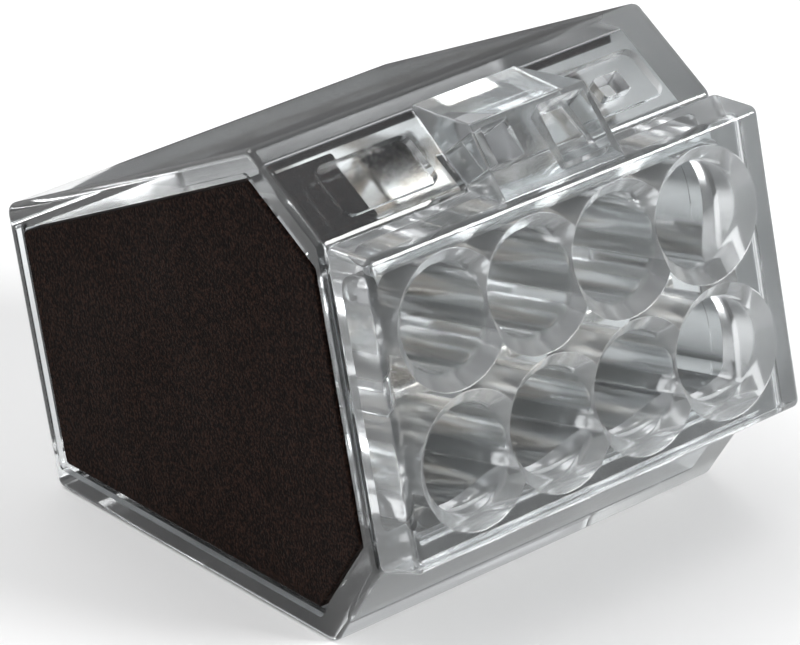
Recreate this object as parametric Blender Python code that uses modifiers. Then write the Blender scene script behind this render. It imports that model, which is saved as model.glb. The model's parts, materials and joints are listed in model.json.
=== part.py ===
"""Push-in wire connector with eight ports in two rows of four.

A clear six-sided housing is closed in front by a clear cap with eight wire
ports, and at its left end by a black insert. Inside, one folded busbar joins
all eight wires, and a spring frame above and one below carry a finger for
each port, which holds the wire against the busbar.

The design is drawn level: X is the width, Y the depth from the front face
(0) to the back, Z the height from the middle plane. The whole connector then
leans back on its lower rear face, which lies on the ground plane.
"""
import math

import bmesh
import bpy
from mathutils import Matrix, Vector

MM = 0.001

# Outer form (mm)
WIDTH = 19.4
FACE_HALF = 5.9
CREASE_HALF = 6.24
CAP_DEPTH = 2.45
RIDGE_Y = 5.7
RIDGE_HALF = 9.46
BACK_Y = 21.3
BACK_HALF = 5.66
EDGE_ROUND = 0.3
FIT_GAP = 0.08
CUT_MARGIN = 0.3

# Walls of the housing (mm)
WALL_SLOPE = 1.2
WALL_REAR = 1.05
WALL_FRONT = 0.7
WALL_BACK = 0.65
END_WALL = 1.1

# Ports (mm)
PORTS_PER_ROW = 4
PITCH = 4.2
ROW_Z = 2.65
MOUTH_RADIUS = 2.59
BORE_RADIUS = 2.0
MOUTH_DEPTH = 0.55
GUIDE_HALF_X = 8.45
GUIDE_HALF_Z = 4.8
GUIDE_FRONT = 1.0
GUIDE_BACK = 6.6
PORT_SIDES = 48

# Test boss over the upper front slope (mm)
BOSS_FOOT = (0.12, 6.0)
BOSS_BROW = (1.6, 8.72)
BOSS_BACK_Z = 9.08
BOSS_HALF_FRONT = 3.0
BOSS_HALF_BACK = 2.55
BOSS_ROOT_Z = 5.0
BOSS_ROUND = 0.12
TEST_HOLE_X = -1.8
TEST_HOLE_WIDTH = 1.3
TEST_HOLE_HEIGHT = 1.5
TEST_HOLE_RISE = 2.1
TEST_HOLE_REACH = 3.6
WEDGE_X = 1.45
WEDGE_RISE = 1.7
WEDGE_WIDTH = 2.3
WEDGE_HEIGHT = 2.3
WEDGE_DEPTH = 0.9
WEDGE_TILT = math.radians(12)

# Windows in the upper front slope (mm)
WINDOW_X = 5.65
WINDOW_WIDTH = 4.5
WINDOW_DROP = 2.8
WINDOW_HEIGHT = 2.3
WINDOW_DEPTH = 0.35
SLOT_WIDTH = 1.3
SLOT_HEIGHT = 0.9
SLOT_DROP = 2.65

# End insert (mm)
INSERT_RECESS = 0.1
INSERT_THICK = 0.9
INSERT_ROUND = 0.15
FLANGE_FROM = -9.1
FLANGE_TO = -6.05
FLANGE_DROP = 2.42
FLANGE_LENGTH = 3.0
FLANGE_THICK = 0.8
FLANGE_SINK = 0.1
RAIL_LENGTH_GAP = 0.15
RAIL_FRONT = 6.6
RAIL_THICK = 0.35
RAIL_DEPTH = 3.0
RAIL_ROOT = 0.4

# Metal parts (mm)
METAL_HALF_X = 8.45
BAR_FACE_Z = 1.6
BAR_THICK = 0.8
BAR_FRONT = 8.0
BAR_BACK = 19.0
FRAME_Z = 5.7
FRAME_THICK = 0.25
FRAME_FRONT = 8.2
FRAME_BACK = 14.6
FRAME_CUT_HALF = 1.45
FRAME_CUT_FRONT = 9.2
FRAME_CUT_BACK = 14.0
TAB_HALF = 1.3
TAB_FOOT = (8.4, 5.825)
TAB_TOP = (7.95, 6.85)
TAB_END = (6.1, 5.0)
FINGER_ROOT_Y = 9.35
FINGER_TIP = (13.6, 1.95)
FINGER_THICK = 0.22
FINGER_HALF = 1.15
FINGER_BEND = 0.5

REAR_SLOPE = math.atan2(RIDGE_HALF - BACK_HALF, BACK_Y - RIDGE_Y)
FRONT_SLOPE = math.atan2(RIDGE_HALF - CREASE_HALF, RIDGE_Y - CAP_DEPTH)
BOSS_LEAN = math.atan2(BOSS_BROW[1] - BOSS_FOOT[1], BOSS_BROW[0] - BOSS_FOOT[0])
HALF_WIDTH = WIDTH / 2
INNER_X = HALF_WIDTH - INSERT_RECESS - INSERT_THICK
CAVITY_END_X = HALF_WIDTH - END_WALL


def clear_scene():
    """Remove whatever the file holds."""
    for item in list(bpy.data.objects):
        bpy.data.objects.remove(item, do_unlink=True)


def make_collection(name):
    """Return a collection linked to the scene."""
    collection = bpy.data.collections.new(name)
    bpy.context.scene.collection.children.link(collection)
    return collection


def make_material(name, colour, roughness, metallic=0.0, clear=0.0):
    """Return a Principled material."""
    material = bpy.data.materials.new(name)
    material.use_nodes = True
    shader = material.node_tree.nodes["Principled BSDF"]
    shader.inputs["Base Color"].default_value = (*colour, 1.0)
    shader.inputs["Roughness"].default_value = roughness
    shader.inputs["Metallic"].default_value = metallic
    shader.inputs["Transmission Weight"].default_value = clear
    return material


# Geometry helpers ---------------------------------------------------------

# The outline of a prism lies in its own XY plane; this turns it into YZ.
OUTLINE_TO_YZ = Matrix(((0, 0, 1, 0), (1, 0, 0, 0), (0, 1, 0, 0), (0, 0, 0, 1)))


def scaled(points):
    """Return (y, z) points in metres."""
    return [(y * MM, z * MM) for y, z in points]


def link(obj, collection, material=None):
    """Put an object in a collection, with its material."""
    collection.objects.link(obj)
    if material is not None:
        obj.data.materials.append(material)
    return obj


def prism(name, outline, x_from, x_to, collection, material=None):
    """Extrude a (y, z) outline in millimetres from x_from to x_to."""
    curve = bpy.data.curves.new(name + "_outline", "CURVE")
    curve.dimensions = "2D"
    curve.fill_mode = "BOTH"
    curve.extrude = (x_to - x_from) / 2 * MM
    spline = curve.splines.new("POLY")
    spline.points.add(len(outline) - 1)
    for point, (y, z) in zip(spline.points, scaled(outline)):
        point.co = (y, z, 0.0, 1.0)
    spline.use_cyclic_u = True
    drawn = bpy.data.objects.new(name + "_outline", curve)
    bpy.context.scene.collection.objects.link(drawn)
    graph = bpy.context.evaluated_depsgraph_get()
    mesh = bpy.data.meshes.new_from_object(drawn.evaluated_get(graph))
    bpy.data.objects.remove(drawn, do_unlink=True)
    mesh.name = name
    shift = Matrix.Translation(((x_from + x_to) / 2 * MM, 0, 0))
    mesh.transform(shift @ OUTLINE_TO_YZ)
    shape = bmesh.new()
    shape.from_mesh(mesh)
    bmesh.ops.remove_doubles(shape, verts=shape.verts, dist=1e-7)
    bmesh.ops.dissolve_limit(
        shape, angle_limit=math.radians(1), verts=shape.verts, edges=shape.edges)
    bmesh.ops.recalc_face_normals(shape, faces=shape.faces)
    shape.to_mesh(mesh)
    shape.free()
    return link(bpy.data.objects.new(name, mesh), collection, material)


def box(name, centre, size, collection, turn_x=0.0):
    """A box in millimetres, turned about X."""
    shape = bmesh.new()
    bmesh.ops.create_cube(shape, size=1.0)
    placed = (Matrix.Translation([c * MM for c in centre])
              @ Matrix.Rotation(turn_x, 4, "X")
              @ Matrix.Diagonal([s * MM for s in size] + [1.0]))
    bmesh.ops.transform(shape, matrix=placed, verts=shape.verts)
    mesh = bpy.data.meshes.new(name)
    shape.to_mesh(mesh)
    shape.free()
    return link(bpy.data.objects.new(name, mesh), collection)


def turned_along_y(name, x, z, profile, collection):
    """A turned cutter along the depth, from (radius, y) points, back to front."""
    mesh = bpy.data.meshes.new(name)
    points = [(radius * MM, 0.0, y * MM) for radius, y in profile]
    mesh.from_pydata(points, [(i, i + 1) for i in range(len(points) - 1)], [])
    cutter = link(bpy.data.objects.new(name, mesh), collection)
    screw = cutter.modifiers.new("turn", "SCREW")
    screw.axis = "Z"
    screw.steps = PORT_SIDES
    screw.render_steps = PORT_SIDES
    screw.use_merge_vertices = True
    screw.merge_threshold = 0.000001
    cutter.rotation_euler = (-math.pi / 2, 0.0, 0.0)
    cutter.location = (x * MM, 0.0, z * MM)
    return cutter


def round_edges(obj, width, segments=2):
    """Round the sharp edges."""
    bevel = obj.modifiers.new("round", "BEVEL")
    bevel.width = width * MM
    bevel.segments = segments
    bevel.limit_method = "ANGLE"
    bevel.angle_limit = math.radians(20)


def combine(obj, other, operation):
    """Cut a piece with another shape, or join the shape to it."""
    boolean = obj.modifiers.new(other.name, "BOOLEAN")
    boolean.operation = operation
    boolean.object = other
    other.hide_render = True
    other.display_type = "WIRE"


def settle(obj):
    """Replace an object's mesh by its evaluated one and drop its modifiers."""
    graph = bpy.context.evaluated_depsgraph_get()
    mesh = bpy.data.meshes.new_from_object(obj.evaluated_get(graph))
    obj.modifiers.clear()
    obj.data = mesh


# Outlines -----------------------------------------------------------------

def mirrored(upper):
    """Complete an outline from its upper half, front to back."""
    return upper + [(y, -z) for y, z in reversed(upper)]


def housing_outline():
    """The six corners of the housing's end."""
    return mirrored([(CAP_DEPTH, CREASE_HALF), (RIDGE_Y, RIDGE_HALF), (BACK_Y, BACK_HALF)])


def front_slope_z(y, inset=0.0):
    """Height of the upper front slope at a depth, inset along its normal."""
    return CREASE_HALF - inset / math.cos(FRONT_SLOPE) + (y - CAP_DEPTH) * math.tan(FRONT_SLOPE)


def rear_slope_z(y, inset=0.0):
    """Height of the upper rear slope at a depth, inset along its normal."""
    return RIDGE_HALF - inset / math.cos(REAR_SLOPE) - (y - RIDGE_Y) * math.tan(REAR_SLOPE)


def cavity_outline(gap=0.0):
    """The six corners of the hollow, shrunk all round by a gap."""
    slope_inset = WALL_SLOPE + gap
    rear_inset = WALL_REAR + gap
    front = CAP_DEPTH + WALL_FRONT + gap
    back = BACK_Y - WALL_BACK - gap
    rise = math.tan(FRONT_SLOPE) + math.tan(REAR_SLOPE)
    ridge = (rear_slope_z(0, rear_inset) - front_slope_z(0, slope_inset)) / rise
    return mirrored([
        (front, front_slope_z(front, slope_inset)),
        (ridge, rear_slope_z(ridge, rear_inset)),
        (back, rear_slope_z(back, rear_inset))])


def port_places():
    """Yield row name, port number, x and z of each port."""
    for row, z in (("upper", ROW_Z), ("lower", -ROW_Z)):
        for number in range(PORTS_PER_ROW):
            yield row, number + 1, (number - (PORTS_PER_ROW - 1) / 2) * PITCH, z


# Pieces -------------------------------------------------------------------

def on_boss(x, rise, depth):
    """Point on the boss's front face, up from its foot and into the boss."""
    y = BOSS_FOOT[0] + rise * math.cos(BOSS_LEAN) + depth * math.sin(BOSS_LEAN)
    z = BOSS_FOOT[1] + rise * math.sin(BOSS_LEAN) - depth * math.cos(BOSS_LEAN)
    return (x, y, z)


def test_hole(name, cutters):
    """Cutter of the test hole, through the boss and the slope behind it."""
    return box(name, on_boss(TEST_HOLE_X, TEST_HOLE_RISE, TEST_HOLE_REACH / 2 - CUT_MARGIN),
               (TEST_HOLE_WIDTH, TEST_HOLE_HEIGHT, TEST_HOLE_REACH + 2 * CUT_MARGIN),
               cutters, BOSS_LEAN)


def on_front_slope(x, drop, depth=0.0):
    """Point on the upper front slope, a distance down from the ridge."""
    y = RIDGE_Y - drop * math.cos(FRONT_SLOPE) + depth * math.sin(FRONT_SLOPE)
    z = RIDGE_HALF - drop * math.sin(FRONT_SLOPE) - depth * math.cos(FRONT_SLOPE)
    return (x, y, z)


def build_housing(parts, cutters, material):
    """The clear six-sided shell, open at its left end and in front."""
    housing = prism("clear_housing", housing_outline(), -HALF_WIDTH, HALF_WIDTH, parts, material)
    round_edges(housing, EDGE_ROUND)
    hollow = prism("hollow", cavity_outline(), -WIDTH, CAVITY_END_X, cutters)
    combine(housing, hollow, "DIFFERENCE")
    mouth_size = (2 * (GUIDE_HALF_X + FIT_GAP), 4.0, 2 * (GUIDE_HALF_Z + FIT_GAP))
    mouth = box("front_opening", (0, CAP_DEPTH, 0), mouth_size, cutters)
    combine(housing, mouth, "DIFFERENCE")
    for side in (-1, 1):
        window = box(
            "window_recess", on_front_slope(side * WINDOW_X, WINDOW_DROP),
            (WINDOW_WIDTH, WINDOW_HEIGHT, 2 * WINDOW_DEPTH), cutters, FRONT_SLOPE)
        combine(housing, window, "DIFFERENCE")
    slot = box(
        "test_slot", on_front_slope(1.5 * PITCH, SLOT_DROP),
        (SLOT_WIDTH, SLOT_HEIGHT, 4 * WALL_SLOPE), cutters, FRONT_SLOPE)
    combine(housing, slot, "DIFFERENCE")
    combine(housing, test_hole("slope_hole", cutters), "DIFFERENCE")
    return housing


def build_cap(parts, cutters, material):
    """The clear front cap: face plate, wire guide, test boss, eight ports."""
    back = CAP_DEPTH - FIT_GAP
    plate = mirrored([(0, FACE_HALF), (back, CREASE_HALF)])
    cap = prism("wire_entry_cap", plate, -HALF_WIDTH, HALF_WIDTH, parts, material)
    round_edges(cap, EDGE_ROUND)
    guide = box(
        "wire_guide", (0, (GUIDE_FRONT + GUIDE_BACK) / 2, 0),
        (2 * GUIDE_HALF_X, GUIDE_BACK - GUIDE_FRONT, 2 * GUIDE_HALF_Z), cutters)
    combine(cap, guide, "UNION")
    combine(cap, build_boss(cutters), "UNION")
    flare = (MOUTH_RADIUS - BORE_RADIUS) / MOUTH_DEPTH
    bore = [
        (0.0, GUIDE_BACK + 1.0), (BORE_RADIUS, GUIDE_BACK + 1.0), (BORE_RADIUS, MOUTH_DEPTH),
        (MOUTH_RADIUS + 0.5 * flare, -0.5), (0.0, -0.5)]
    for row, number, x, z in port_places():
        port = turned_along_y(f"{row}_port_{number}", x, z, bore, cutters)
        combine(cap, port, "DIFFERENCE")
    return cap


def build_boss(cutters):
    """The boss over the slope, with its test hole and wedge pocket."""
    gap_rise = FIT_GAP / math.cos(FRONT_SLOPE)
    back_y = CAP_DEPTH + (BOSS_BACK_Z - CREASE_HALF - gap_rise) / math.tan(FRONT_SLOPE)
    rear_y = CAP_DEPTH - FIT_GAP
    rear_z = front_slope_z(rear_y) + gap_rise
    outline = [
        (BOSS_FOOT[0], BOSS_ROOT_Z), BOSS_FOOT, BOSS_BROW, (back_y, BOSS_BACK_Z),
        (rear_y, rear_z), (rear_y, BOSS_ROOT_Z)]
    boss = prism("test_boss", outline, -BOSS_HALF_FRONT, BOSS_HALF_FRONT, cutters)
    narrowing = (BOSS_HALF_FRONT - BOSS_HALF_BACK) / (BOSS_HALF_FRONT * back_y * MM)
    for vertex in boss.data.vertices:
        vertex.co.x *= 1.0 - narrowing * max(vertex.co.y, 0.0)
    round_edges(boss, BOSS_ROUND, 1)
    combine(boss, test_hole("boss_hole", cutters), "DIFFERENCE")
    wedge = box("wedge_pocket", on_boss(WEDGE_X, WEDGE_RISE, 0),
                (WEDGE_WIDTH, WEDGE_HEIGHT, 2 * WEDGE_DEPTH), cutters, BOSS_LEAN - WEDGE_TILT)
    combine(boss, wedge, "DIFFERENCE")
    settle(boss)
    return boss


def build_insert(parts, cutters, material):
    """The black insert that closes the left end."""
    outside = -HALF_WIDTH + INSERT_RECESS
    insert = prism("left_end_insert", cavity_outline(FIT_GAP), outside, -INNER_X, parts, material)
    round_edges(insert, INSERT_ROUND, 1)
    flange_depth = WALL_SLOPE + FIT_GAP + FLANGE_SINK + FLANGE_THICK / 2
    flange = box(
        "insert_flange",
        on_front_slope((FLANGE_FROM + FLANGE_TO) / 2, FLANGE_DROP, flange_depth),
        (FLANGE_TO - FLANGE_FROM, FLANGE_LENGTH, FLANGE_THICK), cutters, FRONT_SLOPE)
    rail_inset = WALL_REAR + FIT_GAP
    rail_back = RAIL_FRONT + RAIL_DEPTH
    rail_outline = [
        (RAIL_FRONT, rear_slope_z(RAIL_FRONT, rail_inset)),
        (rail_back, rear_slope_z(rail_back, rail_inset)),
        (rail_back, rear_slope_z(rail_back, rail_inset + RAIL_THICK)),
        (RAIL_FRONT, rear_slope_z(RAIL_FRONT, rail_inset + RAIL_THICK))]
    rail = prism("insert_rail", rail_outline, -INNER_X - RAIL_ROOT,
                 CAVITY_END_X - RAIL_LENGTH_GAP, cutters)
    combine(insert, flange, "UNION")
    combine(insert, rail, "UNION")
    settle(insert)
    return insert


def build_busbar(parts, material):
    """One strip folded into a U, a contact face for each row."""
    inner = BAR_FACE_Z - BAR_THICK
    outline = mirrored([
        (BAR_BACK - BAR_THICK, inner), (BAR_FRONT, inner),
        (BAR_FRONT, BAR_FACE_Z), (BAR_BACK, BAR_FACE_Z)])
    return prism("busbar", outline, -METAL_HALF_X, METAL_HALF_X, parts, material)


def build_frame(row, parts, cutters, material, side):
    """A comb plate with a window for each finger and a folded test tab in front."""
    name = row + "_spring_frame"
    top = FRAME_Z + FRAME_THICK
    plate = [(FRAME_FRONT, FRAME_Z), (FRAME_FRONT, top), (FRAME_BACK, top), (FRAME_BACK, FRAME_Z)]
    frame = prism(name, plate, -METAL_HALF_X, METAL_HALF_X, parts, material)
    tab = thick_line([TAB_FOOT, TAB_TOP, TAB_END], FRAME_THICK)
    for number in range(PORTS_PER_ROW):
        x = (number - (PORTS_PER_ROW - 1) / 2) * PITCH
        test_tab = prism(f"{name}_tab_{number + 1}", tab, x - TAB_HALF, x + TAB_HALF, cutters)
        combine(frame, test_tab, "UNION")
        middle = (FRAME_CUT_FRONT + FRAME_CUT_BACK) / 2
        window = box(
            f"{name}_window_{number + 1}", (x, middle, FRAME_Z),
            (2 * FRAME_CUT_HALF, FRAME_CUT_BACK - FRAME_CUT_FRONT, 2.0), cutters)
        combine(frame, window, "DIFFERENCE")
    settle(frame)
    if side < 0:
        frame.data.transform(Matrix.Rotation(math.pi, 4, "Y"))
    return frame


def thick_line(path, thick):
    """Outline of a bent strip: each side of a path of three points, mitred."""
    start, bend, end = [Vector(point) for point in path]
    before = (bend - start).normalized()
    after = (end - bend).normalized()
    across = Vector((-before.y, before.x)) * thick / 2
    beyond = Vector((-after.y, after.x)) * thick / 2
    mitre = (across + beyond) / (1.0 + before.dot(after))
    left = [start + across, bend + mitre, end + beyond]
    right = [end - beyond, bend - mitre, start - across]
    return [tuple(point) for point in left + right]


def finger_outline():
    """A strip that curves down from its root and runs straight to its tip."""
    run = FINGER_TIP[0] - FINGER_ROOT_Y
    drop = FRAME_Z + FRAME_THICK / 2 - FINGER_TIP[1]
    fall = math.atan2(drop, run)
    steps = 5
    middle = [(0.0, 0.0)]
    for step in range(1, steps + 1):
        turn = fall * step / steps
        middle.append((FINGER_BEND * math.sin(turn), FINGER_BEND * (math.cos(turn) - 1)))
    middle.append((run, -drop))
    above = []
    below = []
    for index, (y, z) in enumerate(middle):
        turn = fall * min(index / steps, 1.0)
        normal = (math.sin(turn), math.cos(turn))
        above.append((y + normal[0] * FINGER_THICK / 2, z + normal[1] * FINGER_THICK / 2))
        below.append((y - normal[0] * FINGER_THICK / 2, z - normal[1] * FINGER_THICK / 2))
    return above + below[::-1]


def build_fingers(parts, material, empty):
    """One spring finger for each port, its origin at its root."""
    for row, number, x, z in port_places():
        side = 1 if z > 0 else -1
        finger = prism(f"{row}_finger_{number}", finger_outline(),
                       -FINGER_HALF, FINGER_HALF, parts, material)
        if side < 0:
            finger.data.transform(Matrix.Rotation(math.pi, 4, "Y"))
        height = side * (FRAME_Z + FRAME_THICK / 2)
        finger.location = (x * MM, FINGER_ROOT_Y * MM, height * MM)
        finger.parent = empty


def lay_down(empty):
    """Turn the design so that its lower rear face lies on the ground."""
    back_corner = BACK_Y * math.cos(REAR_SLOPE) + BACK_HALF * math.sin(REAR_SLOPE)
    front_corner = -FACE_HALF * math.sin(REAR_SLOPE)
    ground = RIDGE_Y * math.sin(REAR_SLOPE) + RIDGE_HALF * math.cos(REAR_SLOPE)
    empty.rotation_euler = (-REAR_SLOPE, 0.0, 0.0)
    empty.location = (0.0, -(back_corner + front_corner) / 2 * MM, ground * MM)


def main():
    """Build the connector."""
    clear_scene()
    parts = make_collection("push_in_wire_connector")
    cutters = make_collection("cutters")
    clear = make_material("clear_polycarbonate", (0.86, 0.88, 0.88), 0.05, clear=1.0)
    black = make_material("black_moulding", (0.018, 0.013, 0.011), 0.6)
    copper = make_material("tinned_copper", (0.62, 0.52, 0.42), 0.3, 1.0)
    steel = make_material("spring_steel", (0.6, 0.58, 0.55), 0.28, 1.0)

    build_housing(parts, cutters, clear)
    build_cap(parts, cutters, clear)
    build_insert(parts, cutters, black)
    build_busbar(parts, copper)
    build_frame("upper", parts, cutters, steel, 1)
    build_frame("lower", parts, cutters, steel, -1)

    empty = bpy.data.objects.new("connector_frame", None)
    bpy.context.scene.collection.objects.link(empty)
    for piece in list(parts.objects) + list(cutters.objects):
        piece.parent = empty
    build_fingers(parts, steel, empty)
    lay_down(empty)


main()
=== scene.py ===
"""Looks of the clear push-in wire connector, laid out as an add-on.

All shapes are worked out in the level design frame in millimetres: X across,
Y from the front face to the back, Z up from the middle plane. lay_down() puts
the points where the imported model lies, in metres.
"""
import json
import math

import bmesh
import bpy
import numpy as np
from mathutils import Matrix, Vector


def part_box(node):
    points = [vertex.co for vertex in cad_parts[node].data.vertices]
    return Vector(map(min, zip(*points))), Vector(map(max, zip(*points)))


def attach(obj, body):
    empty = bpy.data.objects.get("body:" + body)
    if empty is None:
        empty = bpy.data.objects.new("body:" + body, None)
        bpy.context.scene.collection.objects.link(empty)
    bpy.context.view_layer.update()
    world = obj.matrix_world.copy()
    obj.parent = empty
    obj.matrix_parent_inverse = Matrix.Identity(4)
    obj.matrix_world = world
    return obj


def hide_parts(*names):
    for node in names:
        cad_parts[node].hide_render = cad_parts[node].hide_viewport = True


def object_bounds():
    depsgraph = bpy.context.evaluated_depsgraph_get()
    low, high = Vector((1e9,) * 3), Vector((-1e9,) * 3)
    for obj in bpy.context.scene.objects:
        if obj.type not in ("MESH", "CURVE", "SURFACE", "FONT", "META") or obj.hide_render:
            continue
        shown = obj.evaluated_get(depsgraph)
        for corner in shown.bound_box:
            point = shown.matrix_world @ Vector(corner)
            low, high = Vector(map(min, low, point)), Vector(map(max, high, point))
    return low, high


bl_info = {
    "name": "Push-in Wire Connector",
    "version": (1, 0, 0),
    "blender": (4, 5, 0),
    "location": "3D View > Sidebar > Connector",
    "description": "Builds a clear push-in connector around its packed frame",
    "category": "Object",
}

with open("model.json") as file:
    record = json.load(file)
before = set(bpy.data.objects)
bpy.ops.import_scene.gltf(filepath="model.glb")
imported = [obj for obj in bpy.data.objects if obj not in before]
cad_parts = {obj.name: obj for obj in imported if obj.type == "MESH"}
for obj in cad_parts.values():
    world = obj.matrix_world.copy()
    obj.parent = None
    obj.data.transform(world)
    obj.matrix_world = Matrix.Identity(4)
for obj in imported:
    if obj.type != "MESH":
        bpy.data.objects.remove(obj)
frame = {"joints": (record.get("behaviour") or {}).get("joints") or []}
cad_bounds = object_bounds()

MM = 0.001

# Placing -------------------------------------------------------------------

# Where the fingers' roots lie in the design frame.
ROOT_Y = 9.35
ROOT_Z = 5.825


def joint_places(row):
    """Hinge places of one row of fingers, left to right, in metres."""
    return np.array([
        joint["pos_m"] for joint in frame["joints"] if joint["child"].startswith(row)])


UPPER_ROOTS = joint_places("upper")
LOWER_ROOTS = joint_places("lower")
RISE = UPPER_ROOTS[0] - LOWER_ROOTS[0]
LEAN = math.atan2(RISE[1], RISE[2])
MIDDLE = (UPPER_ROOTS.mean(axis=0) + LOWER_ROOTS.mean(axis=0)) / 2
PORT_X = UPPER_ROOTS[:, 0] / MM


def lay_down(points):
    """Turn design points by the lean about X and shift them, in metres."""
    x, y, z = np.asarray(points, float).T
    y = y - ROOT_Y
    turned = np.stack([
        x,
        y * math.cos(LEAN) + z * math.sin(LEAN),
        z * math.cos(LEAN) - y * math.sin(LEAN)], axis=1)
    return turned * MM + MIDDLE


# Sizes ---------------------------------------------------------------------

HALF_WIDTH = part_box("clear_housing")[1].x / MM
PITCH = PORT_X[1] - PORT_X[0]

FACE_HALF = 5.9
CREASE = (2.45, 6.24)
RIDGE = (5.7, 9.46)
BACK = (21.3, 5.66)
FRONT_SLOPE = math.atan2(RIDGE[1] - CREASE[1], RIDGE[0] - CREASE[0])
REAR_SLOPE = math.atan2(RIDGE[1] - BACK[1], BACK[0] - RIDGE[0])

WALL_SLOPE = 1.2
WALL_REAR = 1.05
WALL_FRONT = 0.7
WALL_BACK = 0.65
GAP = 0.08

ROW_Z = 2.65
MOUTH_RADIUS = 2.59
BORE_RADIUS = 2.0
MOUTH_DEPTH = 0.55
GUIDE_HALF = (8.45, 4.8)
GUIDE_BACK = 6.6

BOSS_FOOT = (0.12, 6.0)
BOSS_BROW = (1.6, 8.72)
BOSS_BACK_Z = 9.08
BOSS_HALF_FRONT = 3.0
BOSS_HALF_BACK = 2.55

TEST_HOLE_X = -1.8
TEST_HOLE_SIZE = (1.3, 1.5)
TEST_HOLE_RISE = 2.1
TEST_HOLE_REACH = 3.6
WEDGE_X = 1.45
WEDGE_SIZE = (2.3, 2.3)
WEDGE_RISE = 1.7
WEDGE_DEPTH = 0.9
WEDGE_TILT = math.radians(12)

WINDOW_X = 5.65
WINDOW_SIZE = (4.5, 2.3)
WINDOW_DROP = 2.8
WINDOW_DEPTH = 0.35
SLOT_X = 1.5 * PITCH
SLOT_SIZE = (1.3, 0.9)
SLOT_DROP = 2.65

INSERT_OUT = 9.6
INSERT_IN = 8.7
END_WALL_IN = 8.6
STEP_DEEP = 0.28
STEP_WIDE = 0.22
FLANGE_X = -7.575
FLANGE_SIZE = (3.05, 3.0)
FLANGE_DROP = 2.42
FLANGE_SINK = 0.1
FLANGE_THICK = 0.8
RAIL_ROOT_X = -9.1
RAIL_GAP = 0.15
RAIL_FRONT = 6.6
RAIL_DEPTH = 3.0
RAIL_THICK = 0.35

METAL_HALF = 8.45
FRAME_Z = (5.7, 5.95)
TAB_PATH = ((8.4, ROOT_Z), (7.95, 6.85), (6.1, 5.0))
TAB_HALF = 1.3
FINGER_TIP = (13.6, 1.95)
FINGER_HALF = 1.15
FINGER_THICK = 0.22
FINGER_BEND = 0.5


class ConnectorSizes(bpy.types.PropertyGroup):
    """Sizes that a user would change."""

    edge_round: bpy.props.FloatProperty(
        name="Edge Rounding", description="Radius of the housing's outer edges",
        default=0.3 * MM, min=0.0, unit="LENGTH")
    port_sides: bpy.props.IntProperty(
        name="Port Sides", description="Number of faces around each port",
        default=96, min=24)
    lip_round: bpy.props.FloatProperty(
        name="Lip Rounding", description="Radius where a port meets the front face",
        default=0.08 * MM, min=0.0, unit="LENGTH")


class ConnectorColours(bpy.types.PropertyGroup):
    """Colours and finishes."""

    clear: bpy.props.FloatVectorProperty(
        name="Clear Plastic", description="Tint that each surface of the clear plastic gives",
        subtype="COLOR", size=3, default=(0.91, 0.935, 0.945), min=0.0, max=1.0)
    black: bpy.props.FloatVectorProperty(
        name="Black Moulding", description="Colour of the end insert",
        subtype="COLOR", size=3, default=(0.0085, 0.0040, 0.0027), min=0.0, max=1.0)
    copper: bpy.props.FloatVectorProperty(
        name="Tinned Copper", description="Colour of the busbar",
        subtype="COLOR", size=3, default=(0.84, 0.82, 0.79), min=0.0, max=1.0)
    steel: bpy.props.FloatVectorProperty(
        name="Spring Steel", description="Colour of the spring frames and fingers",
        subtype="COLOR", size=3, default=(0.82, 0.80, 0.77), min=0.0, max=1.0)


class ConnectorStage(bpy.types.PropertyGroup):
    """Floor, lights and camera."""

    floor: bpy.props.FloatVectorProperty(
        name="Floor", description="Colour of the floor",
        subtype="COLOR", size=3, default=(0.9, 0.9, 0.9), min=0.0, max=1.0)
    key_power: bpy.props.FloatProperty(
        name="Key Light", description="Power of the main light", default=0.7, min=0.0,
        unit="POWER")
    distance: bpy.props.FloatProperty(
        name="Camera Distance", description="Distance from the camera to the connector",
        default=202.07 * MM, min=0.01, unit="LENGTH")
    azimuth: bpy.props.FloatProperty(
        name="Azimuth", description="Heading of the view, turned right from the depth",
        default=math.radians(42.02), subtype="ANGLE")
    elevation: bpy.props.FloatProperty(
        name="Elevation", description="Height of the camera above the floor",
        default=math.radians(27.19), subtype="ANGLE")
    lens: bpy.props.FloatProperty(
        name="Lens", description="Focal length of the camera", default=241.9, min=10.0,
        unit="CAMERA")


# Outlines ------------------------------------------------------------------

def mirrored(upper):
    """Complete an outline from its upper half, front to back."""
    upper = np.asarray(upper, float)
    return np.concatenate([upper, upper[::-1] * (1.0, -1.0)])


def front_slope_z(y, inset=0.0):
    """Upper front slope: z rises with y, less the inset along its normal."""
    return CREASE[1] - inset / math.cos(FRONT_SLOPE) + (y - CREASE[0]) * math.tan(FRONT_SLOPE)


def rear_slope_z(y, inset=0.0):
    """Upper rear slope: z falls with y, less the inset along its normal."""
    return RIDGE[1] - inset / math.cos(REAR_SLOPE) - (y - RIDGE[0]) * math.tan(REAR_SLOPE)


def cavity_outline(gap=0.0):
    """The hollow's six corners: each wall's inner line, shrunk by a gap."""
    front = CREASE[0] + WALL_FRONT + gap
    back = BACK[0] - WALL_BACK - gap
    steep = math.tan(FRONT_SLOPE) + math.tan(REAR_SLOPE)
    ridge = (rear_slope_z(0, WALL_REAR + gap) - front_slope_z(0, WALL_SLOPE + gap)) / steep
    return mirrored([
        (front, front_slope_z(front, WALL_SLOPE + gap)),
        (ridge, rear_slope_z(ridge, WALL_REAR + gap)),
        (back, rear_slope_z(back, WALL_REAR + gap))])


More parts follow.
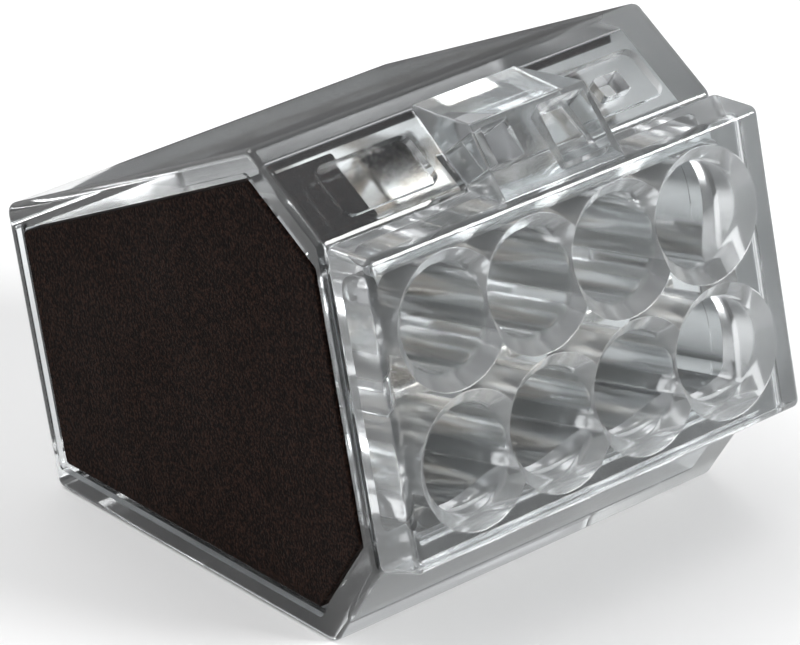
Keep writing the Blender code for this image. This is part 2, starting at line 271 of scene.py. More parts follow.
def rounded(corners, radius, steps=6):
    """Points and outward normals of an outline with each corner an arc.

    With unit vectors a and b from a corner to its neighbours and the angle t
    between them, the arc's centre lies radius / sin(t / 2) along a + b, and
    its points turn evenly from the one tangent point to the other.
    """
    corners = np.asarray(corners, float)
    turn = np.roll(corners, -1, 0) - corners
    if np.sum(corners[:, 0] * np.roll(corners[:, 1], -1)
              - np.roll(corners[:, 0], -1) * corners[:, 1]) < 0:
        corners = corners[::-1]
        turn = np.roll(corners, -1, 0) - corners
    ahead = turn / np.linalg.norm(turn, axis=1, keepdims=True)
    behind = -np.roll(ahead, 1, 0)
    half = np.arccos(np.clip(np.sum(ahead * behind, 1), -1, 1)) / 2
    bisector = ahead + behind
    bisector /= np.linalg.norm(bisector, axis=1, keepdims=True)
    centre = corners + bisector * (radius / np.sin(half))[:, None]
    tangent = (radius / np.tan(half))[:, None]
    first = (corners + behind * tangent - centre) / radius
    last = (corners + ahead * tangent - centre) / radius
    sweep = math.pi - 2 * half
    share = np.linspace(0, 1, steps + 1)[None, :, None]
    angle = sweep[:, None, None]
    radial = (np.sin((1 - share) * angle) * first[:, None]
              + np.sin(share * angle) * last[:, None]) / np.sin(angle)
    points = centre[:, None] + radius * radial
    convex = np.sign(behind[:, 1] * ahead[:, 0] - behind[:, 0] * ahead[:, 1])
    normals = radial * convex[:, None, None]
    return points.reshape(-1, 2), normals.reshape(-1, 2)


def strip_outline(path, thick, bend, steps=8):
    """Outline of a strip bent round the middle point of a path of three.

    The path's arc has the radius bend; each side lies half the thickness
    away along the path's normal, and the two sides make one closed loop.
    """
    start, fold, end = np.asarray(path, float)
    before = (fold - start) / np.linalg.norm(fold - start)
    after = (end - fold) / np.linalg.norm(end - fold)
    cross = before[0] * after[1] - before[1] * after[0]
    sweep = math.atan2(cross, before @ after)
    turn = np.linspace(0.0, sweep, steps + 1)
    left = np.array([-before[1], before[0]])
    tangent = bend * math.tan(abs(sweep) / 2)
    side = math.copysign(bend, sweep)
    centre = fold - before * tangent + left * side
    arc = centre + side * (np.sin(turn)[:, None] * before - np.cos(turn)[:, None] * left)
    normals = np.cos(turn)[:, None] * left - np.sin(turn)[:, None] * before
    middle = np.concatenate([[start], arc, [end]])
    normals = np.concatenate([normals[:1], normals, normals[-1:]]) * thick / 2
    return np.concatenate([middle + normals, (middle - normals)[::-1]])


# Surfaces ------------------------------------------------------------------

def grid_faces(rows, columns):
    """Quads of a grid that closes on itself across its columns."""
    row, column = np.meshgrid(np.arange(rows - 1), np.arange(columns), indexing="ij")
    here = row * columns + column
    beside = row * columns + (column + 1) % columns
    return np.stack([here, beside, beside + columns, here + columns], -1).reshape(-1, 4)


def make_piece(name, points, faces, material=None, placed=True):
    """A mesh from design points, laid down in place, with its normals outward."""
    mesh = bpy.data.meshes.new(name)
    points = lay_down(points) if placed else np.asarray(points) * MM
    mesh.from_pydata(points.tolist(), [], faces)
    shape = bmesh.new()
    shape.from_mesh(mesh)
    bmesh.ops.recalc_face_normals(shape, faces=shape.faces)
    shape.to_mesh(mesh)
    shape.free()
    if material is not None:
        mesh.materials.append(material)
    piece = bpy.data.objects.new(name, mesh)
    bpy.context.scene.collection.objects.link(piece)
    return piece


def slab(name, corners, low, high, corner_round, edge_round, material=None,
         axes=((0, 1, 0), (0, 0, 1), (1, 0, 0)), origin=(0, 0, 0), steps=6, shape=None):
    """A rounded outline carried along an axis, its ends drawn in as quarter rounds.

    Row j of an end lies edge_round * (1 - sin p) inside the end and is inset
    by edge_round * (1 - cos p), with p from a quarter turn to nothing.
    axes are the directions of the outline's two coordinates and of the sweep.
    shape may bend the finished design points.
    """
    outline, normals = rounded(corners, corner_round, steps)
    bend = np.linspace(math.pi / 2, 0, steps + 1)
    inset = edge_round * (1 - np.cos(bend))
    inside = edge_round * (1 - np.sin(bend))
    along = np.concatenate([low + inside, high - inside[::-1]])
    inset = np.concatenate([inset, inset[::-1]])
    plan = outline[None] - normals[None] * inset[:, None, None]
    sweep = np.broadcast_to(along[:, None, None], plan.shape[:2] + (1,))
    points = np.concatenate([plan, sweep], 2).reshape(-1, 3) @ np.array(axes, float)
    points = points + np.array(origin, float)
    if shape is not None:
        points = shape(points)
    columns = len(outline)
    faces = grid_faces(len(along), columns).tolist()
    faces.append(list(range(columns)))
    faces.append(list(range(len(points) - columns, len(points))))
    return make_piece(name, points, faces, material)


def turned(name, profile, x, z, sides, material):
    """A profile of (radius, y) points turned about a line along the depth."""
    profile = np.asarray(profile, float)
    angle = np.arange(sides) * 2 * math.pi / sides
    radius, along = profile[:, 0][:, None], profile[:, 1][:, None]
    points = np.stack([
        x + radius * np.cos(angle), along + 0 * angle, z + radius * np.sin(angle)], -1)
    faces = grid_faces(len(profile), sides).tolist()
    faces.append(list(range(sides)))
    faces.append(list(range((len(profile) - 1) * sides, len(profile) * sides)))
    return make_piece(name, points.reshape(-1, 3), faces, material)


def apply_modifiers(piece):
    """Give a piece its evaluated mesh and drop the modifiers."""
    graph = bpy.context.evaluated_depsgraph_get()
    mesh = bpy.data.meshes.new_from_object(piece.evaluated_get(graph))
    piece.modifiers.clear()
    piece.data = mesh


def combine(piece, tools, operation):
    """Cut or join a list of tool shapes, one after another, and remove them."""
    for tool in tools:
        boolean = piece.modifiers.new(tool.name, "BOOLEAN")
        boolean.operation = operation
        boolean.object = tool
        boolean.material_mode = "TRANSFER"
    apply_modifiers(piece)
    for tool in tools:
        bpy.data.objects.remove(tool, do_unlink=True)


def frost_right_end(piece, frosted):
    """Give the faces of the right end plane their own material."""
    piece.data.materials.append(frosted)
    faces = piece.data.polygons
    middle = np.empty(len(faces) * 3)
    faces.foreach_get("center", middle)
    index = np.empty(len(faces), int)
    faces.foreach_get("material_index", index)
    index[middle[::3] > (HALF_WIDTH - 0.02) * MM] = len(piece.data.materials) - 1
    faces.foreach_set("material_index", index)


def finish_piece(piece, body, slot, *nodes, sharp=28.0):
    """Smooth shading with crisp edges, then the piece joins its body and its CAD parts are hidden.
    """
    piece.data.shade_smooth()
    piece.data.set_sharp_from_angle(angle=math.radians(sharp))
    weighted = piece.modifiers.new("even_shading", "WEIGHTED_NORMAL")
    weighted.keep_sharp = True
    weighted.weight = 80
    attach(piece, body)
    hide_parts(*nodes)


# Materials -----------------------------------------------------------------

def new_group(name, inputs, outputs):
    """A shader node group with named sockets and its in and out nodes."""
    group = bpy.data.node_groups.new(name, "ShaderNodeTree")
    for label, kind, value in inputs:
        socket = group.interface.new_socket(label, in_out="INPUT", socket_type=kind)
        if value is not None:
            socket.default_value = value
    for label, kind in outputs:
        group.interface.new_socket(label, in_out="OUTPUT", socket_type=kind)
    return group, group.nodes.new("NodeGroupInput"), group.nodes.new("NodeGroupOutput")


def noise(nodes, links, vector, scale, detail=3.0, roughness=0.5):
    """A noise texture on given coordinates."""
    texture = nodes.new("ShaderNodeTexNoise")
    texture.inputs["Scale"].default_value = scale
    texture.inputs["Detail"].default_value = detail
    texture.inputs["Roughness"].default_value = roughness
    links.new(vector, texture.inputs["Vector"])
    return texture


def math_node(nodes, links, operation, first, second):
    """A math node between two sockets or numbers."""
    node = nodes.new("ShaderNodeMath")
    node.operation = operation
    for socket, value in zip(node.inputs, (first, second)):
        if isinstance(value, (int, float)):
            socket.default_value = value
        else:
            links.new(value, socket)
    return node.outputs[0]


def moulded_group():
    """Moulded surface: fine grain over a slow waviness.

    Height adds grain and waves, each times its own share. Mask is the slow
    noise, for roughness; Speckle is the grain, for colour.
    """
    group, given, put = new_group(
        "moulded_surface",
        [("Vector", "NodeSocketVector", None), ("Grain Scale", "NodeSocketFloat", 9000.0),
         ("Grain", "NodeSocketFloat", 1.0), ("Wave Scale", "NodeSocketFloat", 300.0),
         ("Wave", "NodeSocketFloat", 0.3)],
        [("Height", "NodeSocketFloat"), ("Mask", "NodeSocketFloat"),
         ("Speckle", "NodeSocketFloat")])
    nodes, links = group.nodes, group.links
    grain = noise(nodes, links, given.outputs["Vector"], 1.0, 2.0, 0.6)
    links.new(given.outputs["Grain Scale"], grain.inputs["Scale"])
    wave = noise(nodes, links, given.outputs["Vector"], 1.0, 2.0, 0.5)
    links.new(given.outputs["Wave Scale"], wave.inputs["Scale"])
    fine = math_node(nodes, links, "MULTIPLY", grain.outputs["Fac"], given.outputs["Grain"])
    slow = math_node(nodes, links, "MULTIPLY", wave.outputs["Fac"], given.outputs["Wave"])
    height = math_node(nodes, links, "ADD", fine, slow)
    links.new(height, put.inputs["Height"])
    links.new(wave.outputs["Fac"], put.inputs["Mask"])
    links.new(grain.outputs["Fac"], put.inputs["Speckle"])
    return group


def rolled_group():
    """Rolled strip: streaks along the depth and blotches of tarnish."""
    group, given, put = new_group(
        "rolled_strip",
        [("Vector", "NodeSocketVector", None), ("Clean", "NodeSocketColor", (0.6, 0.6, 0.6, 1)),
         ("Tarnish", "NodeSocketColor", (0.3, 0.2, 0.1, 1)),
         ("Amount", "NodeSocketFloat", 0.5)],
        [("Color", "NodeSocketColor"), ("Roughness", "NodeSocketFloat"),
         ("Height", "NodeSocketFloat")])
    nodes, links = group.nodes, group.links
    stretch = nodes.new("ShaderNodeMapping")
    stretch.inputs["Scale"].default_value = (9000.0, 500.0, 9000.0)
    links.new(given.outputs["Vector"], stretch.inputs["Vector"])
    streaks = noise(nodes, links, stretch.outputs["Vector"], 1.0, 2.0)
    blotches = noise(nodes, links, given.outputs["Vector"], 900.0, 4.0, 0.6)
    edge = nodes.new("ShaderNodeMapRange")
    edge.inputs["From Min"].default_value = 0.4
    edge.inputs["From Max"].default_value = 0.65
    links.new(blotches.outputs["Fac"], edge.inputs["Value"])
    mask = math_node(nodes, links, "MULTIPLY", edge.outputs["Result"], given.outputs["Amount"])
    mix = nodes.new("ShaderNodeMix")
    mix.data_type = "RGBA"
    links.new(mask, mix.inputs["Factor"])
    links.new(given.outputs["Clean"], mix.inputs["A"])
    links.new(given.outputs["Tarnish"], mix.inputs["B"])
    links.new(mix.outputs["Result"], put.inputs["Color"])
    rough = math_node(nodes, links, "MULTIPLY_ADD", streaks.outputs["Fac"], 0.2)
    rough.node.inputs[2].default_value = 0.15
    links.new(rough, put.inputs["Roughness"])
    links.new(streaks.outputs["Fac"], put.inputs["Height"])
    return group


def shared_group(name, make):
    """A node group built once."""
    return bpy.data.node_groups.get(name) or make()


def start_material(name, group_name, make):
    """A material with its shader and one shared group on Object coordinates."""
    material = bpy.data.materials.new(name)
    material.use_nodes = True
    nodes, links = material.node_tree.nodes, material.node_tree.links
    shader = nodes["Principled BSDF"]
    place = nodes.new("ShaderNodeTexCoord")
    group = nodes.new("ShaderNodeGroup")
    group.node_tree = shared_group(group_name, make)
    links.new(place.outputs["Object"], group.inputs["Vector"])
    return material, shader, group


def add_bump(material, shader, height, strength, distance):
    """Feed a height through a Bump node into the shader."""
    bump = material.node_tree.nodes.new("ShaderNodeBump")
    bump.inputs["Strength"].default_value = strength
    bump.inputs["Distance"].default_value = distance
    material.node_tree.links.new(height, bump.inputs["Height"])
    material.node_tree.links.new(bump.outputs["Normal"], shader.inputs["Normal"])


def ramp(material, value, low, high):
    """Map a mask from 0..1 to a range of values."""
    node = material.node_tree.nodes.new("ShaderNodeMapRange")
    node.inputs["To Min"].default_value = low
    node.inputs["To Max"].default_value = high
    material.node_tree.links.new(value, node.inputs["Value"])
    return node.outputs["Result"]


def clear_plastic(name, least_rough, most_rough, clearness):
    """Clear polycarbonate with faint flow waves; what isn't clear is haze."""
    colours = bpy.context.scene.connector_colours
    material, shader, group = start_material(name, "moulded_surface", moulded_group)
    group.inputs["Grain"].default_value = 0.05
    group.inputs["Grain Scale"].default_value = 1500.0
    group.inputs["Wave Scale"].default_value = 300.0
    group.inputs["Wave"].default_value = 1.0
    shader.inputs["Base Color"].default_value = (*colours.clear, 1.0)
    shader.inputs["IOR"].default_value = 1.58
    shader.inputs["Transmission Weight"].default_value = clearness
    links = material.node_tree.links
    rough = ramp(material, group.outputs["Mask"], least_rough, most_rough)
    links.new(rough, shader.inputs["Roughness"])
    add_bump(material, shader, group.outputs["Height"], 0.05, 0.02 * MM)
    return material


# Least and most roughness, and clearness, of each finish of the clear plastic.
CLEAR_FINISHES = {
    "polished_clear": (0.0, 0.04, 0.985),
    "satin_clear": (0.1, 0.2, 0.98),
    "moulded_clear": (0.03, 0.09, 0.94),
    "hazy_clear": (0.12, 0.25, 0.86),
    "frosted_clear": (0.3, 0.45, 0.8),
}


def black_moulding(name):
    """Warm black plastic with a spark-eroded grain."""
    colours = bpy.context.scene.connector_colours
    material, shader, group = start_material(name, "moulded_surface", moulded_group)
    group.inputs["Grain Scale"].default_value = 9000.0
    group.inputs["Wave Scale"].default_value = 250.0
    group.inputs["Wave"].default_value = 0.4
    mix = material.node_tree.nodes.new("ShaderNodeMix")
    mix.data_type = "RGBA"
    mix.inputs["A"].default_value = (*[c * 0.3 for c in colours.black], 1.0)
    mix.inputs["B"].default_value = (*[c * 3.5 for c in colours.black], 1.0)
    links = material.node_tree.links
    links.new(ramp(material, group.outputs["Speckle"], -1.5, 2.0), mix.inputs["Factor"])
    shader.inputs["Specular IOR Level"].default_value = 0.05
    links.new(mix.outputs["Result"], shader.inputs["Base Color"])
    links.new(ramp(material, group.outputs["Mask"], 0.45, 0.7), shader.inputs["Roughness"])
    add_bump(material, shader, group.outputs["Height"], 1.0, 0.05 * MM)
    return material


COPPER_TARNISH = (0.55, 0.44, 0.34)
STEEL_TARNISH = (0.50, 0.39, 0.29)
TARNISH_AMOUNT = 0.6


def rolled_metal(name, clean, tarnish):
    """Metal strip with streaks and tarnish."""
    material, shader, group = start_material(name, "rolled_strip", rolled_group)
    group.inputs["Clean"].default_value = (*clean, 1.0)
    group.inputs["Tarnish"].default_value = (*tarnish, 1.0)
    group.inputs["Amount"].default_value = TARNISH_AMOUNT
    shader.inputs["Metallic"].default_value = 1.0
    links = material.node_tree.links
    links.new(group.outputs["Color"], shader.inputs["Base Color"])
    links.new(group.outputs["Roughness"], shader.inputs["Roughness"])
    add_bump(material, shader, group.outputs["Height"], 0.3, 0.01 * MM)
    return material


def named_material(name, make, *values):
    """A material built once."""
    return bpy.data.materials.get(name) or make(name, *values)


def clear_finish(name):
    """One finish of the clear plastic."""
    return named_material(name, clear_plastic, *CLEAR_FINISHES[name])


# Pieces --------------------------------------------------------------------

LEVEL_AXES = ((1, 0, 0), (0, 1, 0), (0, 0, 1))
FRONT_AXES = ((1, 0, 0), (0, 0, 1), (0, 1, 0))
SLOPE_AXES = (
    (1, 0, 0),
    (0, math.cos(FRONT_SLOPE), math.sin(FRONT_SLOPE)),
    (0, -math.sin(FRONT_SLOPE), math.cos(FRONT_SLOPE)))


def on_slope(drop):
    """The middle of the upper front slope, a distance down from the ridge."""
    return (0.0, RIDGE[0] - drop * math.cos(FRONT_SLOPE), RIDGE[1] - drop * math.sin(FRONT_SLOPE))


def rectangle(middle, width, height):
    """Four corners about (middle, 0)."""
    x, y = width / 2, height / 2
    return [(middle - x, -y), (middle + x, -y), (middle + x, y), (middle - x, y)]


BOSS_LEAN = math.atan2(BOSS_BROW[1] - BOSS_FOOT[1], BOSS_BROW[0] - BOSS_FOOT[0])


def on_boss(rise):
    """The middle of the boss's front face, a distance up from its foot."""
    return (0.0, BOSS_FOOT[0] + rise * math.cos(BOSS_LEAN),
            BOSS_FOOT[1] + rise * math.sin(BOSS_LEAN))


def facing(angle):
    """Axes of a cut into a face that leans by the angle."""
    return ((1, 0, 0), (0, math.cos(angle), math.sin(angle)),
            (0, -math.sin(angle), math.cos(angle)))


def test_hole():
    """Cutter of the test hole, through the boss and the slope behind it."""
    return slab("test_hole", rectangle(TEST_HOLE_X, *TEST_HOLE_SIZE), -TEST_HOLE_REACH, 0.6,
                0.08, 0.0, axes=facing(BOSS_LEAN), origin=on_boss(TEST_HOLE_RISE))


class CONNECTOR_OT_housing(bpy.types.Operator):
    """Clear six-sided shell, open at its left end and in front"""

    bl_idname = "connector.housing"
    bl_label = "Clear Housing"

    def execute(self, context):
        edge = context.scene.connector_sizes.edge_round / MM
        clear = clear_finish("polished_clear")
        satin = clear_finish("satin_clear")
        shell = slab("clear_shell", mirrored([CREASE, RIDGE, BACK]), -HALF_WIDTH, HALF_WIDTH,
                     edge + 0.15, edge, clear)
        reach = HALF_WIDTH + 2
        tools = [
            slab("hollow", cavity_outline(), -reach, END_WALL_IN - 0.03, 0.25, 0.0, satin),
            slab("end_face", cavity_outline(), END_WALL_IN - 0.3, END_WALL_IN, 0.25, 0.0, clear),
            slab("end_step", cavity_outline(-STEP_WIDE), -reach, STEP_DEEP - HALF_WIDTH, 0.3, 0.0),
            slab("front_opening", rectangle(0, 2 * (GUIDE_HALF[0] + GAP), 2 * (GUIDE_HALF[1] + GAP)),
                 0.5, CREASE[0] + 2.0, 0.3, 0.0, axes=FRONT_AXES)]
        for side in (-1, 1):
            tools.append(slab(
                "window", rectangle(side * WINDOW_X, *WINDOW_SIZE), -WINDOW_DEPTH, 1.0, 0.45, 0.0,
                axes=SLOPE_AXES, origin=on_slope(WINDOW_DROP)))
        tools.append(slab(
            "test_slot", rectangle(SLOT_X, *SLOT_SIZE), -2.0, 1.0, 0.12, 0.0,
            axes=SLOPE_AXES, origin=on_slope(SLOT_DROP)))
        tools.append(test_hole())
        combine(shell, tools, "DIFFERENCE")
        frost_right_end(shell, clear_finish("frosted_clear"))
        finish_piece(shell, "housing", "clear_polycarbonate", "clear_housing")
        return {"FINISHED"}


def port_profile(lip):
    """Radius against depth: out of the face, over a rounded lip, down the flare."""
    flare = math.atan2(MOUTH_RADIUS - BORE_RADIUS, MOUTH_DEPTH)
    turn = np.linspace(0.0, math.pi / 2 - flare, 6)
    centre = (MOUTH_RADIUS + lip * math.tan((math.pi / 2 - flare) / 2), lip)
    lip_radius = centre[0] - lip * np.sin(turn)
    lip_depth = centre[1] - lip * np.cos(turn)
    throat = np.linspace(0.0, flare, 6)
    soft = 0.4
    start = soft * math.tan(flare / 2)
    throat_radius = BORE_RADIUS + soft * (1 - np.cos(flare - throat))
    throat_depth = MOUTH_DEPTH + start - soft * np.sin(flare - throat)
    radius = np.concatenate([[centre[0]], lip_radius, throat_radius, [BORE_RADIUS]])
    depth = np.concatenate([[-1.0], lip_depth, throat_depth, [GUIDE_BACK + 1.0]])
    return np.stack([radius, depth], 1)


class CONNECTOR_OT_cap(bpy.types.Operator):
    """Clear front cap: face plate, wire guide, test boss and eight ports"""

    bl_idname = "connector.cap"
    bl_label = "Wire Entry Cap"

    def execute(self, context):
        sizes = context.scene.connector_sizes
        edge = sizes.edge_round / MM
        clear = clear_finish("moulded_clear")
        hazy = clear_finish("hazy_clear")
        rear = CREASE[0] - GAP
        plate = slab("clear_cap", mirrored([(0, FACE_HALF), (rear, CREASE[1])]),
                     -HALF_WIDTH, HALF_WIDTH, edge + 0.05, edge, clear)
        guide = slab(
            "wire_guide", rectangle(0, 2 * GUIDE_HALF[0], 2 * GUIDE_HALF[1]), 1.0, GUIDE_BACK,
            0.6, 0.1, clear, axes=FRONT_AXES)
        combine(plate, [guide, self.boss()], "UNION")
        profile = port_profile(sizes.lip_round / MM)
        ports = [
            turned(f"port_{z}_{number}", profile, x, z, sizes.port_sides, hazy)
            for z in (ROW_Z, -ROW_Z) for number, x in enumerate(PORT_X)]
        combine(plate, ports, "DIFFERENCE")
        frost_right_end(plate, clear_finish("frosted_clear"))
        finish_piece(plate, "housing", "clear_polycarbonate", "wire_entry_cap")
        return {"FINISHED"}

    @staticmethod
    def boss():
        """A prism over the slope that narrows to the back, hole and pocket cut."""
        rise = GAP / math.cos(FRONT_SLOPE)
        back_y = CREASE[0] + (BOSS_BACK_Z - CREASE[1] - rise) / math.tan(FRONT_SLOPE)
        rear = CREASE[0] - GAP
        outline = [(BOSS_FOOT[0], 5.0), BOSS_FOOT, BOSS_BROW, (back_y, BOSS_BACK_Z),
                   (rear, front_slope_z(rear) + rise), (rear, 5.0)]
        narrowing = (BOSS_HALF_FRONT - BOSS_HALF_BACK) / (BOSS_HALF_FRONT * back_y)

        def taper(points):
            points = points.copy()
            points[:, 0] *= 1.0 - narrowing * np.maximum(points[:, 1], 0.0)
            return points

        boss = slab("boss", outline, -BOSS_HALF_FRONT, BOSS_HALF_FRONT, 0.1, 0.09, shape=taper)
        wedge = slab("wedge_pocket", rectangle(WEDGE_X, *WEDGE_SIZE), -WEDGE_DEPTH, 1.0, 0.08, 0.0,
                     axes=facing(BOSS_LEAN - WEDGE_TILT), origin=on_boss(WEDGE_RISE))
        combine(boss, [test_hole(), wedge], "DIFFERENCE")
        return boss


def turn_over(piece):
    """Half a turn about the line from the front to the back, in the mesh."""
    points = np.empty(len(piece.data.vertices) * 3)
    piece.data.vertices.foreach_get("co", points)
    x, y, z = ((points.reshape(-1, 3) - MIDDLE) / MM).T
    depth = y * math.cos(LEAN) - z * math.sin(LEAN) + ROOT_Y
    height = y * math.sin(LEAN) + z * math.cos(LEAN)
    laid = lay_down(np.stack([-x, depth, -height], 1))
    piece.data.vertices.foreach_set("co", laid.ravel())
    piece.data.update()


class CONNECTOR_OT_insert(bpy.types.Operator):
    """Black insert that closes the left end"""

    bl_idname = "connector.insert"
    bl_label = "End Insert"

    def execute(self, context):
        plate = slab("left_insert", cavity_outline(GAP), -INSERT_OUT, -INSERT_IN, 0.22, 0.12,
                     named_material("grained_black", black_moulding))
        sink = WALL_SLOPE + GAP + FLANGE_SINK
        flange = slab(
            "flange", rectangle(FLANGE_X, *FLANGE_SIZE), -sink - FLANGE_THICK, -sink, 0.12, 0.06,
            axes=SLOPE_AXES, origin=on_slope(FLANGE_DROP))
        depths = (RAIL_FRONT, RAIL_FRONT + RAIL_DEPTH)
        inner = WALL_REAR + GAP
        outer = [(y, rear_slope_z(y, inner)) for y in depths]
        under = [(y, rear_slope_z(y, inner + RAIL_THICK)) for y in depths[::-1]]
        rail = slab("rail", outer + under, RAIL_ROOT_X, END_WALL_IN - RAIL_GAP, 0.06, 0.05)
        combine(plate, [flange, rail], "UNION")
        finish_piece(plate, "housing", "black_moulding", "left_end_insert")
        return {"FINISHED"}


class CONNECTOR_OT_busbar(bpy.types.Operator):
    """Busbar folded into a U"""

    bl_idname = "connector.busbar"
    bl_label = "Busbar"

    def execute(self, context):
        colours = context.scene.connector_colours
        copper = named_material("tinned_strip", rolled_metal, colours.copper, COPPER_TARNISH)
        bar = slab("folded_busbar", mirrored([(18.2, 0.8), (8.0, 0.8), (8.0, 1.6), (19.0, 1.6)]),
                   -METAL_HALF, METAL_HALF, 0.25, 0.08, copper)
        finish_piece(bar, "housing", "tinned_copper", "busbar")
        return {"FINISHED"}


class CONNECTOR_OT_springs(bpy.types.Operator):
    """Spring frames and their fingers"""

    bl_idname = "connector.springs"
    bl_label = "Springs"

    def execute(self, context):
        colours = context.scene.connector_colours
        steel = named_material("spring_strip", rolled_metal, colours.steel, STEEL_TARNISH)
        for row, side in (("upper", 1), ("lower", -1)):
            self.comb(row, side, steel)
            for number, x in enumerate(PORT_X, 1):
                self.finger(f"{row}_finger_{number}", x, side, steel)
        return {"FINISHED"}

    @staticmethod
    def comb(row, side, steel):
        """A plate with a window for each finger and a tab before each."""
        plate = slab(f"{row}_comb", rectangle(0, 2 * METAL_HALF, 6.4), *FRAME_Z, 0.3, 0.03,
                     steel, axes=LEVEL_AXES, origin=(0, 11.4, 0), steps=3)
        outline = strip_outline(TAB_PATH, FRAME_Z[1] - FRAME_Z[0], 0.15)
        tabs = [
            slab("tab", outline, x - TAB_HALF, x + TAB_HALF, 0.004, 0.003, steps=2)
            for x in PORT_X]
        combine(plate, tabs, "UNION")
        windows = [
            slab("finger_window", rectangle(x, 2.9, 4.8), 4.0, 7.0, 0.3, 0.0,
                 axes=LEVEL_AXES, origin=(0, 11.6, 0))
            for x in PORT_X]
        combine(plate, windows, "DIFFERENCE")
        if side < 0:
            turn_over(plate)
        finish_piece(plate, "housing", "spring_steel", f"{row}_spring_frame")

    @staticmethod
    def finger(name, x, side, steel):
        """A strip that curves down from its root and runs straight to its tip."""
        run, drop = FINGER_TIP[0] - ROOT_Y, ROOT_Z - FINGER_TIP[1]
        fall = math.atan2(drop, run)
        turn = np.linspace(0.0, fall, 9)
        y = np.append(FINGER_BEND * np.sin(turn), run)
        z = np.append(FINGER_BEND * (np.cos(turn) - 1), -drop)
        lean = np.append(turn, fall)
        half = FINGER_THICK / 2 * np.stack([np.sin(lean), np.cos(lean)], 1)
        middle = np.stack([y + ROOT_Y, z + ROOT_Z], 1)
        outline = np.concatenate([middle + half, (middle - half)[::-1]])
        strip = slab(name + "_strip", outline, -FINGER_HALF, FINGER_HALF, 0.005, 0.004, steel,
                     steps=2)
        if side < 0:
            turn_over(strip)
        points = np.empty(len(strip.data.vertices) * 3)
        strip.data.vertices.foreach_get("co", points)
        points[::3] += x * MM
        strip.data.vertices.foreach_set("co", points)
        finish_piece(strip, name, "spring_steel", name)


# Stage ---------------------------------------------------------------------

def aim(thing, target):
    """Turn a light or the camera to face a point."""
    thing.rotation_euler = (Vector(target) - thing.location).to_track_quat("-Z", "Y").to_euler()


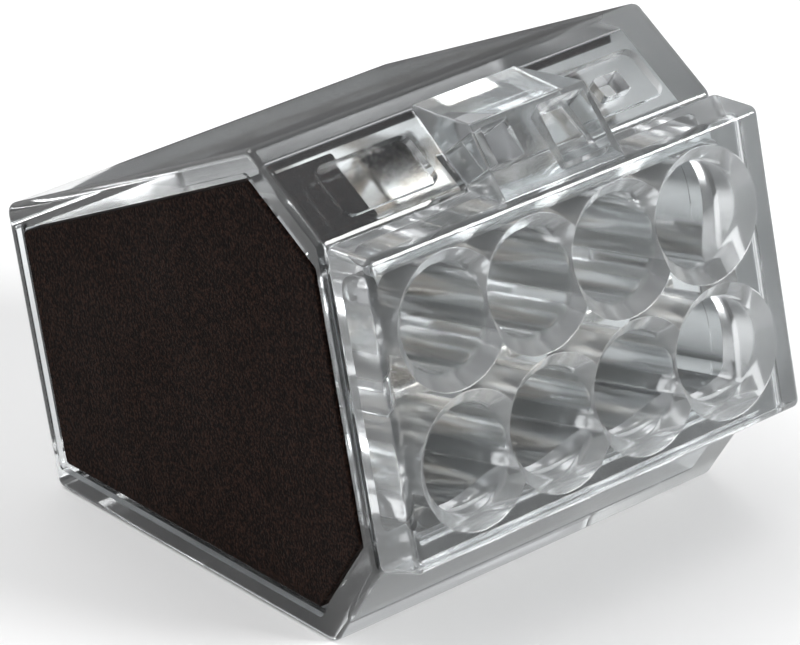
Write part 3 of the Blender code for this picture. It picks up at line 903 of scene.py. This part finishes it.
class CONNECTOR_OT_stage(bpy.types.Operator):
    """Pale floor, soft lights and the camera"""

    bl_idname = "connector.stage"
    bl_label = "Stage"

    def execute(self, context):
        stage = context.scene.connector_stage
        low, high = cad_bounds
        middle = [(a + b) / 2 for a, b in zip(low, high)]
        self.floor(stage)
        self.light("key", (-0.15, 0.25, 0.35), 0.25, stage.key_power, middle)
        self.light("fill", (0.22, -0.33, 0.2), 0.2, stage.key_power * 3.1, middle)
        self.world(context.scene)
        self.camera(context.scene, stage, middle)
        context.scene.view_settings.view_transform = "Standard"
        context.scene.cycles.transmission_bounces = 24
        context.scene.cycles.max_bounces = 28
        return {"FINISHED"}

    @staticmethod
    def floor(stage):
        """A small round sheet, and a wide one under it that only the camera and matt faces see."""
        material = bpy.data.materials.new("floor_paper")
        material.use_nodes = True
        shader = material.node_tree.nodes["Principled BSDF"]
        shader.inputs["Base Color"].default_value = (*stage.floor, 1.0)
        shader.inputs["Roughness"].default_value = 0.8
        angle = np.arange(64) * 2 * math.pi / 64
        for name, reach, height in (("near_floor", 40.0, 0.0), ("far_floor", 800.0, -0.05)):
            ring = np.stack([reach * np.cos(angle), reach * np.sin(angle), 0 * angle + height], 1)
            sheet = make_piece(name, ring, [list(range(64))], material, placed=False)
        sheet.visible_glossy = False
        sheet.visible_transmission = False

    @staticmethod
    def light(name, place, size, power, target):
        """A square area light that faces the connector."""
        data = bpy.data.lights.new(name, "AREA")
        data.size = size
        data.energy = power
        lamp = bpy.data.objects.new(name, data)
        bpy.context.scene.collection.objects.link(lamp)
        lamp.location = place
        aim(lamp, target)

    @staticmethod
    def world(scene):
        """A studio that is bright above and behind and dark in front."""
        world = bpy.data.worlds.new("studio")
        scene.world = world
        world.use_nodes = True
        nodes, links = world.node_tree.nodes, world.node_tree.links
        place = nodes.new("ShaderNodeTexCoord")
        towards = nodes.new("ShaderNodeVectorMath")
        towards.operation = "DOT_PRODUCT"
        towards.inputs[1].default_value = (-0.35, 0.65, 0.675)
        links.new(place.outputs["Generated"], towards.inputs[0])
        shades = nodes.new("ShaderNodeValToRGB")
        shades.color_ramp.elements[0].position = 0.0
        shades.color_ramp.elements[0].color = (0.08, 0.08, 0.08, 1)
        shades.color_ramp.elements[1].position = 0.8
        shades.color_ramp.elements[1].color = (1.0, 1.0, 1.0, 1)
        shades.color_ramp.elements.new(0.35).color = (0.25, 0.25, 0.26, 1)
        links.new(towards.outputs["Value"], shades.inputs["Fac"])
        links.new(shades.outputs["Color"], nodes["Background"].inputs["Color"])
        nodes["Background"].inputs["Strength"].default_value = 1.15

    @staticmethod
    def camera(scene, stage, middle):
        """A long lens at the given heading, height and distance."""
        data = bpy.data.cameras.new("camera")
        data.lens = stage.lens
        data.clip_start = 0.01
        camera = bpy.data.objects.new("camera", data)
        scene.collection.objects.link(camera)
        heading, height = stage.azimuth, stage.elevation
        target = np.array(middle) + np.array((-0.64, -0.6, -1.7)) * MM
        back = np.array((
            -math.sin(heading) * math.cos(height),
            -math.cos(heading) * math.cos(height),
            math.sin(height)))
        camera.location = target + back * stage.distance
        aim(camera, target)
        scene.camera = camera


class CONNECTOR_PT_panel(bpy.types.Panel):
    """The connector's sizes, colours and steps"""

    bl_label = "Push-in Connector"
    bl_space_type = "VIEW_3D"
    bl_region_type = "UI"
    bl_category = "Connector"

    def draw(self, context):
        scene = context.scene
        for group in (scene.connector_sizes, scene.connector_colours, scene.connector_stage):
            for name in group.__annotations__:
                self.layout.prop(group, name)
        for operator in OPERATORS:
            self.layout.operator(operator.bl_idname)


OPERATORS = (
    CONNECTOR_OT_housing,
    CONNECTOR_OT_cap,
    CONNECTOR_OT_insert,
    CONNECTOR_OT_busbar,
    CONNECTOR_OT_springs,
    CONNECTOR_OT_stage,
)
GROUPS = (ConnectorSizes, ConnectorColours, ConnectorStage)


def register():
    """Register the classes and their settings."""
    for item in GROUPS + OPERATORS + (CONNECTOR_PT_panel,):
        bpy.utils.register_class(item)
    bpy.types.Scene.connector_sizes = bpy.props.PointerProperty(type=ConnectorSizes)
    bpy.types.Scene.connector_colours = bpy.props.PointerProperty(type=ConnectorColours)
    bpy.types.Scene.connector_stage = bpy.props.PointerProperty(type=ConnectorStage)


def unregister():
    """Remove the settings and the classes."""
    del bpy.types.Scene.connector_stage
    del bpy.types.Scene.connector_colours
    del bpy.types.Scene.connector_sizes
    for item in reversed(GROUPS + OPERATORS + (CONNECTOR_PT_panel,)):
        bpy.utils.unregister_class(item)


def main():
    """Build everything."""
    register()
    bpy.ops.connector.housing()
    bpy.ops.connector.cap()
    bpy.ops.connector.insert()
    bpy.ops.connector.busbar()
    bpy.ops.connector.springs()
    bpy.ops.connector.stage()


if __name__ == "__main__":
    main()
